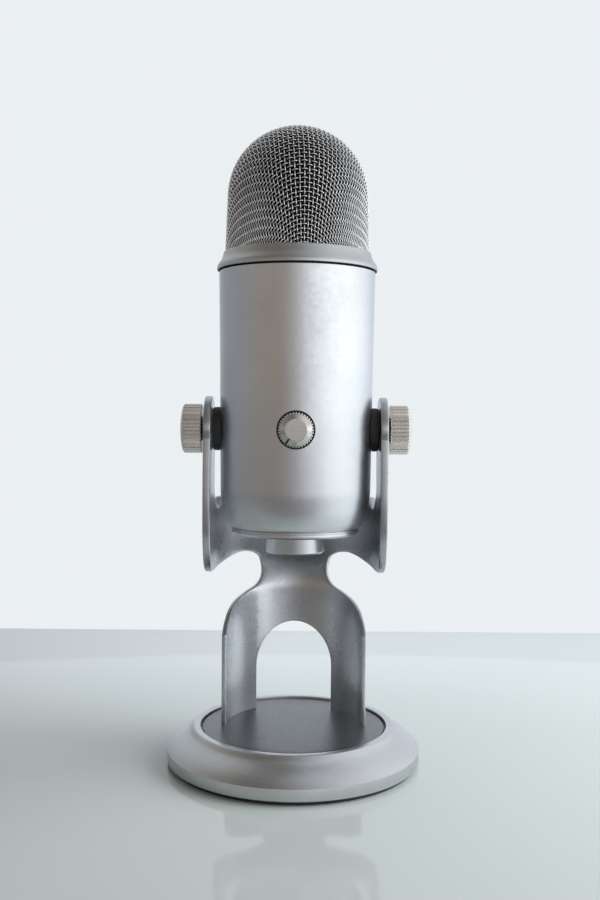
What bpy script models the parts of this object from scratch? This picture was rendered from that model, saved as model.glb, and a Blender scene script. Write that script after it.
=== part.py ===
"""A desktop microphone on its weighted table stand, modelled in Blender 4.5.

The origin is on the table, under the middle of the base. +Z is up and the front,
with the volume knob, faces -Y. The microphone hangs between the two arms of a bent
yoke and tilts about the X axis through its two thumbscrews.
"""

import math

import bmesh
import bpy
from mathutils import Matrix, Vector

MM = 0.001
GAP = 0.3 * MM

# Base
BASE_RADIUS = 62.5 * MM
BASE_BOTTOM = 2.1 * MM
RIM_TOP = 7.9 * MM
LIP_RADIUS = 49.5 * MM
LIP_INNER_RADIUS = 46.2 * MM
LIP_TOP = 18.4 * MM
PAD_RADIUS = 60.5 * MM
DISC_RADIUS = 45.2 * MM
DISC_TOP = 17.4 * MM
DISC_THICKNESS = 3.0 * MM
FOOT_TOP = 13.8 * MM
FOOT_BOTTOM = 9.5 * MM
FOOT_WIDTH = 7.0 * MM
FOOT_DEGREES = (40, 86)
SLOT_DEGREES = (33.8, 90.8)
LEG_SCREW_DEGREES = (-76, -50, 50, 76)

# Yoke
LEG_RADIUS = 34.85 * MM
LEG_CENTRE_Y = -0.5 * MM
LEG_THICKNESS = 2.3 * MM
ARM_HALF_WIDTH = 42.8 * MM
ARM_THICKNESS = 3.6 * MM
ARM_END_RADIUS = 16.0 * MM
ARCH_HALF_WIDTH = 20.0 * MM
ARCH_SPRING = 40.0 * MM
ARCH_TOP = 62.5 * MM
WEB_TOP = 131.0 * MM
YOKE_COLUMNS = 30
YOKE_ROWS = 16

# Tilt pivot and thumbscrews
PIVOT_Z = 165.0 * MM
SHAFT_RADIUS = 3.0 * MM
THUMB_RADIUS = 12.1 * MM
THUMB_INNER_X = 46.0 * MM
THUMB_OUTER_X = 56.7 * MM
THUMB_RIBS = 30
WASHER_RADIUS = 10.7 * MM
WASHER_SADDLE_RADIUS = 37.7 * MM
THRUST_RADIUS = 6.3 * MM
INSERT_RADIUS = 6.7 * MM

# Microphone body
BODY_TOP = 241.9 * MM
BODY_BOTTOM = 117.3 * MM
BODY_WALL = 1.8 * MM
COLLAR_RADIUS = 39.3 * MM
COLLAR_BOTTOM = 242.2 * MM
COLLAR_TOP = 251.0 * MM
GRILLE_RADIUS = 35.5 * MM
DOME_RADIUS = 34.5 * MM
DOME_CENTRE_Z = 277.9 * MM
CAP_RADIUS = 31.5 * MM
CAP_BOTTOM = 114.0 * MM
BOSS_RADIUS = 14.5 * MM
BOSS_BOTTOM = 104.0 * MM
THREAD_RADIUS = 7.94 * MM

# Controls
KNOB_RADIUS = 8.3 * MM
KNOB_RIBS = 36
KNOB_HOLE_RADIUS = 9.0 * MM
KNOB_FACE_Y = 42.6 * MM
KNOB_CORE_RADIUS = 6.5 * MM
CONTROLS = (("volume", 165.5 * MM, -1), ("gain", 165.0 * MM, 1), ("pattern", 200.0 * MM, 1))
SEAT_RADIUS = 11.0 * MM
SEAT_TOP = 33.2 * MM
BUSHING_RADIUS = 4.5 * MM
SHAFT_TOP = 40.0 * MM
CONTROL_DEPTH = 7.0 * MM

# Inside
ROD_X = 20.0 * MM
ROD_Y = 8.2 * MM
ROD_RADIUS = 2.2 * MM
BOARD_THICKNESS = 1.6 * MM
CAPSULE_RADIUS = 7.0 * MM
CAPSULE_Z = 283.0 * MM
CAP_SCREW_X = 24.5 * MM
PORT_Y = 22.5 * MM

LARGE_STEPS = 32
MEDIUM_STEPS = 20
SMALL_STEPS = 12


def clear_scene():
    for obj in list(bpy.data.objects):
        bpy.data.objects.remove(obj, do_unlink=True)


def new_collection(name):
    collection = bpy.data.collections.new(name)
    bpy.context.scene.collection.children.link(collection)
    return collection


def new_material(name, colour, roughness, metallic):
    material = bpy.data.materials.new(name)
    material.use_nodes = True
    shader = material.node_tree.nodes["Principled BSDF"]
    shader.inputs["Base Color"].default_value = (*colour, 1.0)
    shader.inputs["Roughness"].default_value = roughness
    shader.inputs["Metallic"].default_value = metallic
    return material


clear_scene()
PARTS = new_collection("desktop_microphone")
CUTTERS = new_collection("cutters")
CUTTERS.hide_render = True

FINISHES = {
    "satin_silver": ((0.56, 0.58, 0.61), 0.38, 0.9),
    "dark_disc": ((0.30, 0.31, 0.33), 0.42, 0.8),
    "thumb_metal": ((0.52, 0.48, 0.45), 0.34, 0.95),
    "grille_wire": ((0.50, 0.51, 0.53), 0.32, 0.95),
    "black_rubber": ((0.03, 0.03, 0.03), 0.75, 0.0),
    "black_plastic": ((0.04, 0.04, 0.045), 0.5, 0.0),
    "black_foam": ((0.02, 0.02, 0.02), 0.95, 0.0),
    "steel": ((0.55, 0.55, 0.56), 0.3, 1.0),
    "brass": ((0.72, 0.55, 0.28), 0.3, 1.0),
    "circuit_board": ((0.03, 0.18, 0.08), 0.5, 0.0),
}
MATERIALS = {name: new_material(name, *look) for name, look in FINISHES.items()}


def place(name, mesh, material, collection=None):
    """Links a new object. With no collection given it is a visible part."""
    obj = bpy.data.objects.new(name, mesh)
    (collection or PARTS).objects.link(obj)
    if material:
        mesh.materials.append(MATERIALS[material])
    mesh.shade_smooth()
    mesh.set_sharp_from_angle(angle=math.radians(35))
    return obj


def hide_as_cutter(obj):
    for owner in list(obj.users_collection):
        owner.objects.unlink(obj)
    CUTTERS.objects.link(obj)
    obj.hide_render = True
    obj.display_type = "WIRE"
    return obj


def turned(name, profile, material, steps=LARGE_STEPS, closed=False):
    """A solid of revolution about Z. Its (radius, height) profile runs down the outer side."""
    bm = bmesh.new()
    verts = [bm.verts.new((radius, 0.0, height)) for radius, height in profile]
    for first, second in zip(verts, verts[1:]):
        bm.edges.new((first, second))
    if closed:
        bm.edges.new((verts[-1], verts[0]))
    mesh = bpy.data.meshes.new(name)
    bm.to_mesh(mesh)
    bm.free()
    obj = place(name, mesh, material)
    screw = obj.modifiers.new("Turn", "SCREW")
    screw.axis = "Z"
    screw.steps = steps
    screw.render_steps = steps
    screw.use_merge_vertices = True
    screw.merge_threshold = 0.00001
    screw.use_smooth_shade = True
    return obj


def flat_ring(inner, outer, low, high):
    """The closed profile of a plain washer, for turned."""
    return [(inner, high), (outer, high), (outer, low), (inner, low)]


def cylinder(name, radius, low, high, material, steps=MEDIUM_STEPS):
    """A plain cylinder about Z, from one height to another."""
    mesh = bpy.data.meshes.new(name)
    bm = bmesh.new()
    ends = {"radius1": radius, "radius2": radius, "depth": high - low}
    bmesh.ops.create_cone(bm, cap_ends=True, segments=steps, **ends)
    bmesh.ops.translate(bm, verts=bm.verts, vec=(0.0, 0.0, (low + high) / 2))
    bm.to_mesh(mesh)
    bm.free()
    return place(name, mesh, material)


def block(name, size, centre, material):
    mesh = bpy.data.meshes.new(name)
    bm = bmesh.new()
    bmesh.ops.create_cube(bm, size=1.0)
    bmesh.ops.scale(bm, vec=size, verts=bm.verts)
    bm.to_mesh(mesh)
    bm.free()
    obj = place(name, mesh, material)
    obj.location = centre
    return obj


def ribbed_ring(name, radius, depth, ribs, low, high, material):
    """A cylinder about Z whose side is cut into pointed ribs."""
    mesh = bpy.data.meshes.new(name)
    bm = bmesh.new()
    points = 2 * ribs
    ends = {"radius1": radius, "radius2": radius, "depth": high - low}
    bmesh.ops.create_cone(bm, cap_ends=True, segments=points, **ends)
    for vert in bm.verts:
        turn = math.atan2(vert.co.y, vert.co.x) / math.tau * points
        if round(turn) % 2 == 0:
            inward = (radius - depth) / radius
            vert.co.x *= inward
            vert.co.y *= inward
    bmesh.ops.translate(bm, verts=bm.verts, vec=(0.0, 0.0, (low + high) / 2))
    bm.to_mesh(mesh)
    bm.free()
    return place(name, mesh, material)


def boolean(obj, other, operation):
    hide_as_cutter(other)
    modifier = obj.modifiers.new(operation.title(), "BOOLEAN")
    modifier.operation = operation
    modifier.solver = "EXACT"
    modifier.object = other


def cut(obj, *cutters):
    for cutter in cutters:
        boolean(obj, cutter, "DIFFERENCE")


def join(obj, *others):
    for other in others:
        boolean(obj, other, "UNION")


def new_pivot(name, location):
    empty = bpy.data.objects.new(name, None)
    empty.empty_display_size = 0.01
    empty.location = location
    PARTS.objects.link(empty)
    return empty


def along(obj, direction, origin=(0.0, 0.0, 0.0)):
    """Turns an object's Z axis to a direction and puts its origin on that axis."""
    obj.rotation_euler = Vector(direction).to_track_quat("Z", "Y").to_euler()
    obj.location = origin
    return obj


def parent_at(obj, pivot):
    """Parents an object to a pivot empty without moving it."""
    obj.parent = pivot
    obj.matrix_parent_inverse = Matrix.Translation(pivot.location).inverted()


def arc(centre, radius, start_deg, end_deg, count):
    """Points on a circle in a plane, both ends included."""
    points = []
    for i in range(count + 1):
        angle = math.radians(start_deg + (end_deg - start_deg) * i / count)
        points.append((centre[0] + radius * math.cos(angle), centre[1] + radius * math.sin(angle)))
    return points


def catmull_rom(a, b, c, d, t):
    """A value between b and c, with t from 0 to 1 and a and d as the values on either side."""
    square = (2 * a - 5 * b + 4 * c - d) * t**2
    cube = (3 * b - a - 3 * c + d) * t**3
    return 0.5 * (2 * b + (c - a) * t + square + cube)


def spline(points, steps):
    """A Catmull-Rom curve through the points, which keeps both end points."""
    padded = [points[0], *points, points[-1]]
    result = []
    for four in zip(padded, padded[1:], padded[2:], padded[3:]):
        for i in range(steps):
            result.append(tuple(catmull_rom(*values, i / steps) for values in zip(*four)))
    return [*result, points[-1]]


def blend(low, high, start, end, value):
    """A smooth change from low to high while value goes from start to end."""
    t = min(max((value - start) / (end - start), 0.0), 1.0)
    return low + (high - low) * t * t * (3 - 2 * t)


# ---------------------------------------------------------------- yoke surface


def half_width(z):
    return blend(LEG_RADIUS, ARM_HALF_WIDTH, 80 * MM, 93 * MM, z)


def back_depth(z):
    return blend(LEG_RADIUS + LEG_CENTRE_Y, ARM_HALF_WIDTH, 80 * MM, 112 * MM, z)


def flat_until(z):
    """How far back the arms stay flat before the section turns round the microphone."""
    lower = blend(LEG_CENTRE_Y, 0.0, 80 * MM, 93 * MM, z)
    return lower + blend(0.0, ARM_END_RADIUS, 118 * MM, 145 * MM, z)


def thickness(z):
    return blend(LEG_THICKNESS, ARM_THICKNESS, 84 * MM, 100 * MM, z)


QUARTER = LEG_RADIUS * math.pi / 2


def unfold_x(x, z):
    """Distance round the yoke from its back line to a point at this X."""
    return LEG_RADIUS * math.asin(min(x / half_width(z), 1.0))


def unfold_y(y, z):
    """Distance round the yoke from its back line to a point on the arm at this Y."""
    ahead = flat_until(z) - y
    if ahead >= 0.0:
        return QUARTER + ahead
    return LEG_RADIUS * math.acos(-ahead / (back_depth(z) - flat_until(z)))


def fold(s, w, z):
    """The place of a point that is s round the yoke and w out from its middle surface."""
    side = math.copysign(1.0, s)
    flat = flat_until(z)
    if abs(s) >= QUARTER:
        return (side * (half_width(z) + w), flat + QUARTER - abs(s), z)
    angle = abs(s) / LEG_RADIUS
    a = half_width(z)
    b = back_depth(z) - flat
    normal = Vector((b * math.sin(angle), a * math.cos(angle))).normalized()
    return (side * (a * math.sin(angle) + w * normal.x), flat + b * math.cos(angle) + w * normal.y, z)


def yoke_half_outline():
    """Points (s, z) down one side of the yoke, from the top of the web to the crown of the arch."""
    pivot = (0.0, PIVOT_Z)
    back_edge = [(20, 129.5), (16.5, 126), (13.4, 124.8), (12.2, 128), (12.4, 136), (14.2, 150)]
    back_edge = spline([(y * MM, z * MM) for y, z in back_edge], 3)
    round_end = arc(pivot, ARM_END_RADIUS, -10, 196, 14)
    front_edge = [(-16.6, 150), (-17, 126), (-15, 110), (-8.5, 98.5), (0, 94), (8, 93.7)]
    front_edge = spline([(y * MM, z * MM) for y, z in front_edge], 3)
    web_edge = [(38, 96.4), (33.5, 98.7), (28.7, 100), (23.6, 99.4), (19.9, 97.6), (18.3, 95)]
    neck = [(17.4, 90), (18, 86), (20.5, 82.5), (25.4, 79.7), (30, 76.5), (32.8, 72.6), (34.2, 68)]
    web_edge = spline([(x * MM, z * MM) for x, z in web_edge + neck], 2)
    web_top = [(x * MM, WEB_TOP) for x in (0, 12, 24, 31)]
    outline = [(unfold_x(x, z), z) for x, z in web_top]
    outline += [(unfold_y(y, z), z) for y, z in back_edge + round_end + front_edge]
    outline += [(unfold_x(x, z), z) for x, z in web_edge]
    outline += [(QUARTER, 62 * MM), (QUARTER, FOOT_TOP - 2 * MM)]
    arch = [(ARCH_HALF_WIDTH, FOOT_TOP - 2 * MM)]
    rise = ARCH_TOP - ARCH_SPRING
    for i in range(9):
        angle = math.pi / 2 * i / 8
        arch.append((ARCH_HALF_WIDTH * math.cos(angle), ARCH_SPRING + rise * math.sin(angle)))
    outline += [(unfold_x(x, z), z) for x, z in arch]
    return outline


def yoke_blank():
    """A flat, evenly divided slab in (s, w, z), where w runs from -1 to 1."""
    bm = bmesh.new()
    reach = QUARTER + ARM_END_RADIUS + 20 * MM
    low = FOOT_TOP - 3 * MM
    high = PIVOT_Z + ARM_END_RADIUS + 1 * MM
    bmesh.ops.create_grid(bm, x_segments=YOKE_COLUMNS, y_segments=YOKE_ROWS, size=1.0)
    for vert in bm.verts:
        vert.co = (vert.co.x * reach, -MM, low + (high - low) * (vert.co.y + 1) / 2)
    extruded = bmesh.ops.extrude_face_region(bm, geom=bm.faces[:])["geom"]
    moved = [item for item in extruded if isinstance(item, bmesh.types.BMVert)]
    bmesh.ops.translate(bm, verts=moved, vec=(0.0, 2 * MM, 0.0))
    bmesh.ops.recalc_face_normals(bm, faces=bm.faces)
    mesh = bpy.data.meshes.new("yoke_blank")
    bm.to_mesh(mesh)
    bm.free()
    return place("yoke_blank", mesh, None)


def yoke_outline_prism():
    half = yoke_half_outline()
    outline = half + [(-s, z) for s, z in reversed(half[1:-1])]
    bm = bmesh.new()
    verts = [bm.verts.new((s, -3 * MM, z)) for s, z in outline]
    face = bm.faces.new(verts)
    extruded = bmesh.ops.extrude_face_region(bm, geom=[face])["geom"]
    moved = [item for item in extruded if isinstance(item, bmesh.types.BMVert)]
    bmesh.ops.translate(bm, verts=moved, vec=(0.0, 6 * MM, 0.0))
    bmesh.ops.recalc_face_normals(bm, faces=bm.faces)
    mesh = bpy.data.meshes.new("yoke_outline")
    bm.to_mesh(mesh)
    bm.free()
    return place("yoke_outline", mesh, None)


def make_yoke():
    """Cuts the flat blank to its outline, bends it round the microphone and adds the feet."""
    blank = yoke_blank()
    boolean(blank, yoke_outline_prism(), "INTERSECT")
    bpy.context.view_layer.update()
    graph = bpy.context.evaluated_depsgraph_get()
    mesh = bpy.data.meshes.new_from_object(blank.evaluated_get(graph))
    bpy.data.objects.remove(blank, do_unlink=True)
    for vert in mesh.vertices:
        s, w, z = vert.co
        vert.co = fold(s, w / MM * thickness(z) / 2, z)
    yoke = place("yoke", mesh, "satin_silver")
    for side in (-1, 1):
        join(yoke, arc_strip(f"foot_{side}", FOOT_WIDTH, FOOT_DEGREES, FOOT_BOTTOM, FOOT_TOP, side))
    hole = cylinder("arm_holes", SHAFT_RADIUS + GAP, -60 * MM, 60 * MM, None)
    cut(yoke, along(hole, (1, 0, 0), (0.0, 0.0, PIVOT_Z)))
    for i, (x, y) in enumerate(leg_screw_places()):
        hole = cylinder(f"foot_hole_{i}", 2.2 * MM, 5 * MM, FOOT_TOP + 0.1 * MM, None, SMALL_STEPS)
        hole.location = (x, y, 0.0)
        cut(yoke, hole)
    return yoke


def leg_point(degrees):
    """A point on the legs' middle line, which is this far round from the back towards +X."""
    angle = math.radians(degrees)
    return (LEG_RADIUS * math.sin(angle), LEG_CENTRE_Y + LEG_RADIUS * math.cos(angle))


def arc_strip(name, width, degrees, low, high, side):
    """A block bent along a leg's middle line: an upright ribbon thickened both ways."""
    bm = bmesh.new()
    count = 13
    start, end = degrees
    edges = []
    for z in (low, high):
        row = []
        for i in range(count + 1):
            x, y = leg_point(start + (end - start) * i / count)
            row.append(bm.verts.new((side * x, y, z)))
        edges.append([bm.edges.new(pair) for pair in zip(row, row[1:])])
    bmesh.ops.bridge_loops(bm, edges=edges[0] + edges[1])
    mesh = bpy.data.meshes.new(name)
    bm.to_mesh(mesh)
    bm.free()
    strip = place(name, mesh, None)
    solidify = strip.modifiers.new("Thickness", "SOLIDIFY")
    solidify.thickness = width
    solidify.offset = 0.0
    return strip


def leg_screw_places():
    return [leg_point(degrees) for degrees in LEG_SCREW_DEGREES]


# ---------------------------------------------------------------- stand


def make_base_casting():
    slope = [(49.5, 17.9), (50.4, 17.3), (51.5, 16.05), (53.3, 14.8), (56, 13.2), (58.6, 11.5), (60.7, 9.75)]
    groove_inner = LEG_RADIUS - FOOT_WIDTH / 2 - 1 * MM
    groove_outer = LEG_RADIUS + FOOT_WIDTH / 2 + 1.2 * MM
    seat = DISC_TOP - DISC_THICKNESS - GAP
    profile = [
        (0.0, seat),
        (groove_inner, seat),
        (groove_inner, FOOT_BOTTOM - GAP),
        (groove_outer, FOOT_BOTTOM - GAP),
        (groove_outer, seat),
        (LIP_INNER_RADIUS, seat),
        (LIP_INNER_RADIUS, LIP_TOP),
        (LIP_RADIUS - 1 * MM, LIP_TOP),
        *[(radius * MM, height * MM) for radius, height in slope],
        (BASE_RADIUS - 0.2 * MM, RIM_TOP),
        (BASE_RADIUS, RIM_TOP - 0.5 * MM),
        (BASE_RADIUS, BASE_BOTTOM + 0.5 * MM),
        (BASE_RADIUS - 0.5 * MM, BASE_BOTTOM),
        (0.0, BASE_BOTTOM),
    ]
    casting = turned("base_casting", profile, "satin_silver")
    for i, (x, y) in enumerate(leg_screw_places()):
        profile = screw_profile(4.3 * MM, 2.3 * MM, 0.0, 5.6 * MM, 12 * MM)
        hole = turned(f"casting_hole_{i}", profile, None, SMALL_STEPS)
        hole.location = (x, y, 0.0)
        cut(casting, hole)


def make_foot_pad():
    top = BASE_BOTTOM - GAP
    chamfer = 0.4 * MM
    profile = [
        (0.0, top),
        (PAD_RADIUS, top),
        (PAD_RADIUS, chamfer),
        (PAD_RADIUS - chamfer, 0.0),
        (0.0, 0.0),
    ]
    turned("foot_pad", profile, "black_rubber")


def make_base_disc():
    low = DISC_TOP - DISC_THICKNESS
    chamfer = 0.4 * MM
    profile = [
        (0.0, DISC_TOP),
        (DISC_RADIUS - chamfer, DISC_TOP),
        (DISC_RADIUS, DISC_TOP - chamfer),
        (DISC_RADIUS, low),
        (0.0, low),
    ]
    disc = turned("base_disc", profile, "dark_disc")
    width = LEG_THICKNESS + 2 * GAP
    for side in (-1, 1):
        cut(disc, arc_strip(f"leg_slot_{side}", width, SLOT_DEGREES, 10 * MM, 20 * MM, side))


def screw_profile(head_radius, shaft_radius, head_low, head_high, tip):
    """A screw with its head down, or the stepped hole that takes one."""
    return [
        (0.0, tip),
        (shaft_radius, tip),
        (shaft_radius, head_high),
        (head_radius, head_high),
        (head_radius, head_low),
        (0.0, head_low),
    ]


def make_leg_screws():
    for i, (x, y) in enumerate(leg_screw_places()):
        profile = screw_profile(3.8 * MM, 1.9 * MM, 2.4 * MM, 5.3 * MM, 13.0 * MM)
        screw = turned(f"leg_screw_{i + 1}", profile, "steel", SMALL_STEPS)
        screw.location = (x, y, 0.0)


def make_stand():
    make_base_casting()
    make_foot_pad()
    make_base_disc()
    make_yoke()
    make_leg_screws()


# ---------------------------------------------------------------- thumbscrews


def make_thumbscrew(word, side):
    """A ribbed head on an M6 shank. Local Z points out of the microphone."""
    outer = THUMB_OUTER_X
    profile = [
        (0.0, outer),
        (5.5 * MM, outer - 0.2 * MM),
        (9.6 * MM, outer - 0.8 * MM),
        (11.2 * MM, outer - 1.7 * MM),
        (11.2 * MM, THUMB_INNER_X),
        (SHAFT_RADIUS, THUMB_INNER_X),
        (SHAFT_RADIUS, 29.0 * MM),
        (0.0, 29.0 * MM),
    ]
    screw = turned(f"thumbscrew_{word}", profile, "thumb_metal", MEDIUM_STEPS)
    ends = (THUMB_INNER_X + 0.4 * MM, outer - 1.1 * MM)
    ribs = ribbed_ring(f"thumb_ribs_{word}", THUMB_RADIUS, 0.5 * MM, THUMB_RIBS, *ends, None)
    join(screw, along(ribs, (side, 0, 0), (0.0, 0.0, PIVOT_Z)))
    along(screw, (side, 0, 0), (0.0, 0.0, PIVOT_Z))
    low = ARM_HALF_WIDTH + ARM_THICKNESS / 2 + GAP
    profile = flat_ring(SHAFT_RADIUS + 0.4 * MM, THRUST_RADIUS, low, THUMB_INNER_X - GAP)
    thrust = turned(f"thrust_washer_{word}", profile, "black_plastic", MEDIUM_STEPS, closed=True)
    along(thrust, (side, 0, 0), (0.0, 0.0, PIVOT_Z))


# ---------------------------------------------------------------- microphone


def make_body_shell():
    straight = [(38.25, 241.5), (37.7, 204), (37.2, 155), (37.0, 135)]
    turned_in = [(36.5, 130), (35.6, 125.1), (34.1, 120.1), (32.6, 117.5)]
    outer = [(radius * MM, height * MM) for radius, height in straight + turned_in]
    inner = [(radius - BODY_WALL, height) for radius, height in reversed(outer[:-1])]
    profile = [
        (outer[0][0] - BODY_WALL, BODY_TOP),
        (outer[0][0] - 0.4 * MM, BODY_TOP),
        *outer,
        (outer[-1][0] - 0.2 * MM, BODY_BOTTOM),
        (outer[-1][0] - BODY_WALL, BODY_BOTTOM),
        *inner,
    ]
    shell = turned("body_shell", profile, "satin_silver", closed=True)
    for name, height, side in CONTROLS:
        hole = cylinder(f"shell_{name}_hole", KNOB_HOLE_RADIUS, 30 * MM, 45 * MM, None)
        cut(shell, along(hole, (0, side, 0), (0.0, 0.0, height)))
    hole = cylinder("shell_pivot_holes", INSERT_RADIUS + GAP, -45 * MM, 45 * MM, None)
    cut(shell, along(hole, (1, 0, 0), (0.0, 0.0, PIVOT_Z)))


def make_grille_collar():
    flare = [(36.1, 250.7), (36.6, 249.0), (37.3, 246.9), (38.2, 245.0), (39.0, 243.6)]
    bore = 33.9 * MM
    spigot = 36.1 * MM
    spigot_low = 236.0 * MM
    profile = [
        (bore, COLLAR_TOP),
        (35.8 * MM, COLLAR_TOP),
        *[(radius * MM, height * MM) for radius, height in flare],
        (COLLAR_RADIUS, COLLAR_BOTTOM + 0.8 * MM),
        (COLLAR_RADIUS, COLLAR_BOTTOM + 0.3 * MM),
        (COLLAR_RADIUS - 0.3 * MM, COLLAR_BOTTOM),
        (spigot, COLLAR_BOTTOM),
        (spigot, spigot_low),
        (bore, spigot_low),
    ]
    turned("grille_collar", profile, "satin_silver", closed=True)


def dome_profile(inset, wall, foot_radius, foot_z, count):
    """An open-bottomed dome: down the outside, across the rim and up the inside."""
    centre = (0.0, DOME_CENTRE_Z)
    outside = arc(centre, DOME_RADIUS - inset, 90, 4, count)
    inside = arc(centre, DOME_RADIUS - inset - wall, 4, 90, count)
    outside[0] = (0.0, outside[0][1])
    inside[-1] = (0.0, inside[-1][1])
    return [*outside, (foot_radius, foot_z), (foot_radius - wall, foot_z), *inside]


def make_grille():
    profile = dome_profile(0.0, 0.8 * MM, GRILLE_RADIUS, COLLAR_TOP + GAP, 8)
    turned("grille", profile, "grille_wire")
    profile = dome_profile(1.3 * MM, 0.9 * MM, 33.5 * MM, 239.5 * MM, 6)
    turned("grille_liner", profile, "black_foam", MEDIUM_STEPS)


def make_end_cap():
    hole = BOSS_RADIUS + GAP
    profile = [
        (hole, 122 * MM),
        (30.2 * MM, 122 * MM),
        (30.2 * MM, BODY_BOTTOM - GAP),
        (CAP_RADIUS, BODY_BOTTOM - GAP),
        (CAP_RADIUS, CAP_BOTTOM + 0.6 * MM),
        (CAP_RADIUS - 0.6 * MM, CAP_BOTTOM),
        (hole, CAP_BOTTOM),
    ]
    cap = turned("end_cap", profile, "satin_silver", closed=True)
    for side in (-1, 1):
        profile = screw_profile(3.1 * MM, 1.8 * MM, 110 * MM, 116.4 * MM, 125 * MM)
        hole = turned(f"cap_hole_{side}", profile, None, SMALL_STEPS)
        hole.location.x = side * CAP_SCREW_X
        cut(cap, hole)
    cut(cap, block("usb_window", (9.6 * MM, 6.6 * MM, 20 * MM), (0.0, PORT_Y, 118 * MM), None))
    window = cylinder("jack_window", 4.3 * MM, 108 * MM, 128 * MM, None)
    window.location.y = -PORT_Y
    cut(cap, window)


def make_mount_boss():
    profile = [
        (0.0, 125 * MM),
        (17.5 * MM, 125 * MM),
        (17.5 * MM, 122.3 * MM),
        (BOSS_RADIUS, 122.3 * MM),
        (BOSS_RADIUS, BOSS_BOTTOM + 0.5 * MM),
        (BOSS_RADIUS - 0.5 * MM, BOSS_BOTTOM),
        (THREAD_RADIUS, BOSS_BOTTOM),
        (THREAD_RADIUS, 120 * MM),
        (0.0, 120 * MM),
    ]
    turned("mount_boss", profile, "satin_silver", MEDIUM_STEPS)


def make_pivot_side(word, side):
    """The brass insert that a thumbscrew's shank enters, and the rubber washer round it."""
    bore = SHAFT_RADIUS + GAP
    profile = [
        (bore, 40.0 * MM),
        (INSERT_RADIUS, 40.0 * MM),
        (INSERT_RADIUS, 33.6 * MM),
        (9.0 * MM, 33.6 * MM),
        (9.0 * MM, 30.0 * MM),
        (INSERT_RADIUS, 30.0 * MM),
        (INSERT_RADIUS, 26.0 * MM),
        (bore, 26.0 * MM),
    ]
    insert = turned(f"pivot_insert_{word}", profile, "brass", MEDIUM_STEPS, closed=True)
    along(insert, (side, 0, 0), (0.0, 0.0, PIVOT_Z))
    arm_face = ARM_HALF_WIDTH - ARM_THICKNESS / 2
    inner = INSERT_RADIUS + GAP
    profile = [
        (inner, arm_face - GAP),
        (WASHER_RADIUS - 0.4 * MM, arm_face - GAP),
        (WASHER_RADIUS, arm_face - 0.7 * MM),
        (WASHER_RADIUS, 32 * MM),
        (inner, 32 * MM),
    ]
    washer = turned(f"friction_washer_{word}", profile, "black_rubber", MEDIUM_STEPS, closed=True)
    along(washer, (side, 0, 0), (0.0, 0.0, PIVOT_Z))
    ends = (PIVOT_Z - 20 * MM, PIVOT_Z + 20 * MM)
    cut(washer, cylinder(f"washer_saddle_{word}", WASHER_SADDLE_RADIUS, *ends, None, 96))


def make_chassis():
    """Two plates held apart by four posts. The circuit boards stand between the posts."""
    chassis = cylinder("chassis", 32.5 * MM, 126 * MM, 129 * MM, "black_plastic", 32)
    join(chassis, cylinder("chassis_top", 33.2 * MM, 236 * MM, 239 * MM, None, 32))
    for i, (x, y) in enumerate([(-1, -1), (-1, 1), (1, -1), (1, 1)]):
        post = cylinder(f"chassis_post_{i}", ROD_RADIUS, 128 * MM, 237 * MM, None, SMALL_STEPS)
        post.location = (x * ROD_X, y * ROD_Y, 0.0)
        join(chassis, post)
    for side in (-1, 1):
        hole = cylinder(f"chassis_hole_{side}", 1.8 * MM, 120 * MM, 132 * MM, None, SMALL_STEPS)
        hole.location.x = side * CAP_SCREW_X
        cut(chassis, hole)
    cut(chassis, cylinder("cable_hole", 8 * MM, 120 * MM, 132 * MM, None, SMALL_STEPS))


def make_boards():
    width = 2 * (ROD_X - ROD_RADIUS - 0.4 * MM)
    block("main_board", (width, BOARD_THICKNESS, 96 * MM), (0.0, -ROD_Y, 182 * MM), "circuit_board")
    block("control_board", (width, BOARD_THICKNESS, 84 * MM), (0.0, ROD_Y, 184 * MM), "circuit_board")


def make_knob(name, facing, pivot):
    """The ribbed knob and its shaft, both parented to the control's pivot."""
    side = KNOB_FACE_Y - 1.6 * MM
    low = 36.0 * MM
    bore = SHAFT_RADIUS + GAP
    profile = [
        (0.0, KNOB_FACE_Y),
        (5.2 * MM, KNOB_FACE_Y),
        (7.6 * MM, side),
        (7.6 * MM, low),
        (bore, low),
        (bore, SHAFT_TOP + GAP),
        (0.0, SHAFT_TOP + GAP),
    ]
    knob = along(turned(f"{name}_knob", profile, "satin_silver", MEDIUM_STEPS), *facing)
    ribs = ribbed_ring(f"{name}_knob_ribs", KNOB_RADIUS, 0.45 * MM, KNOB_RIBS, low, side, None)
    core = cylinder(f"{name}_knob_core", KNOB_CORE_RADIUS, 30 * MM, 45 * MM, None)
    cut(along(ribs, *facing), along(core, *facing))
    join(knob, ribs)
    shaft = cylinder(f"{name}_shaft", SHAFT_RADIUS, 13 * MM, SHAFT_TOP, "steel", SMALL_STEPS)
    along(shaft, *facing)
    for obj in (knob, shaft):
        parent_at(obj, pivot)


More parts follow.
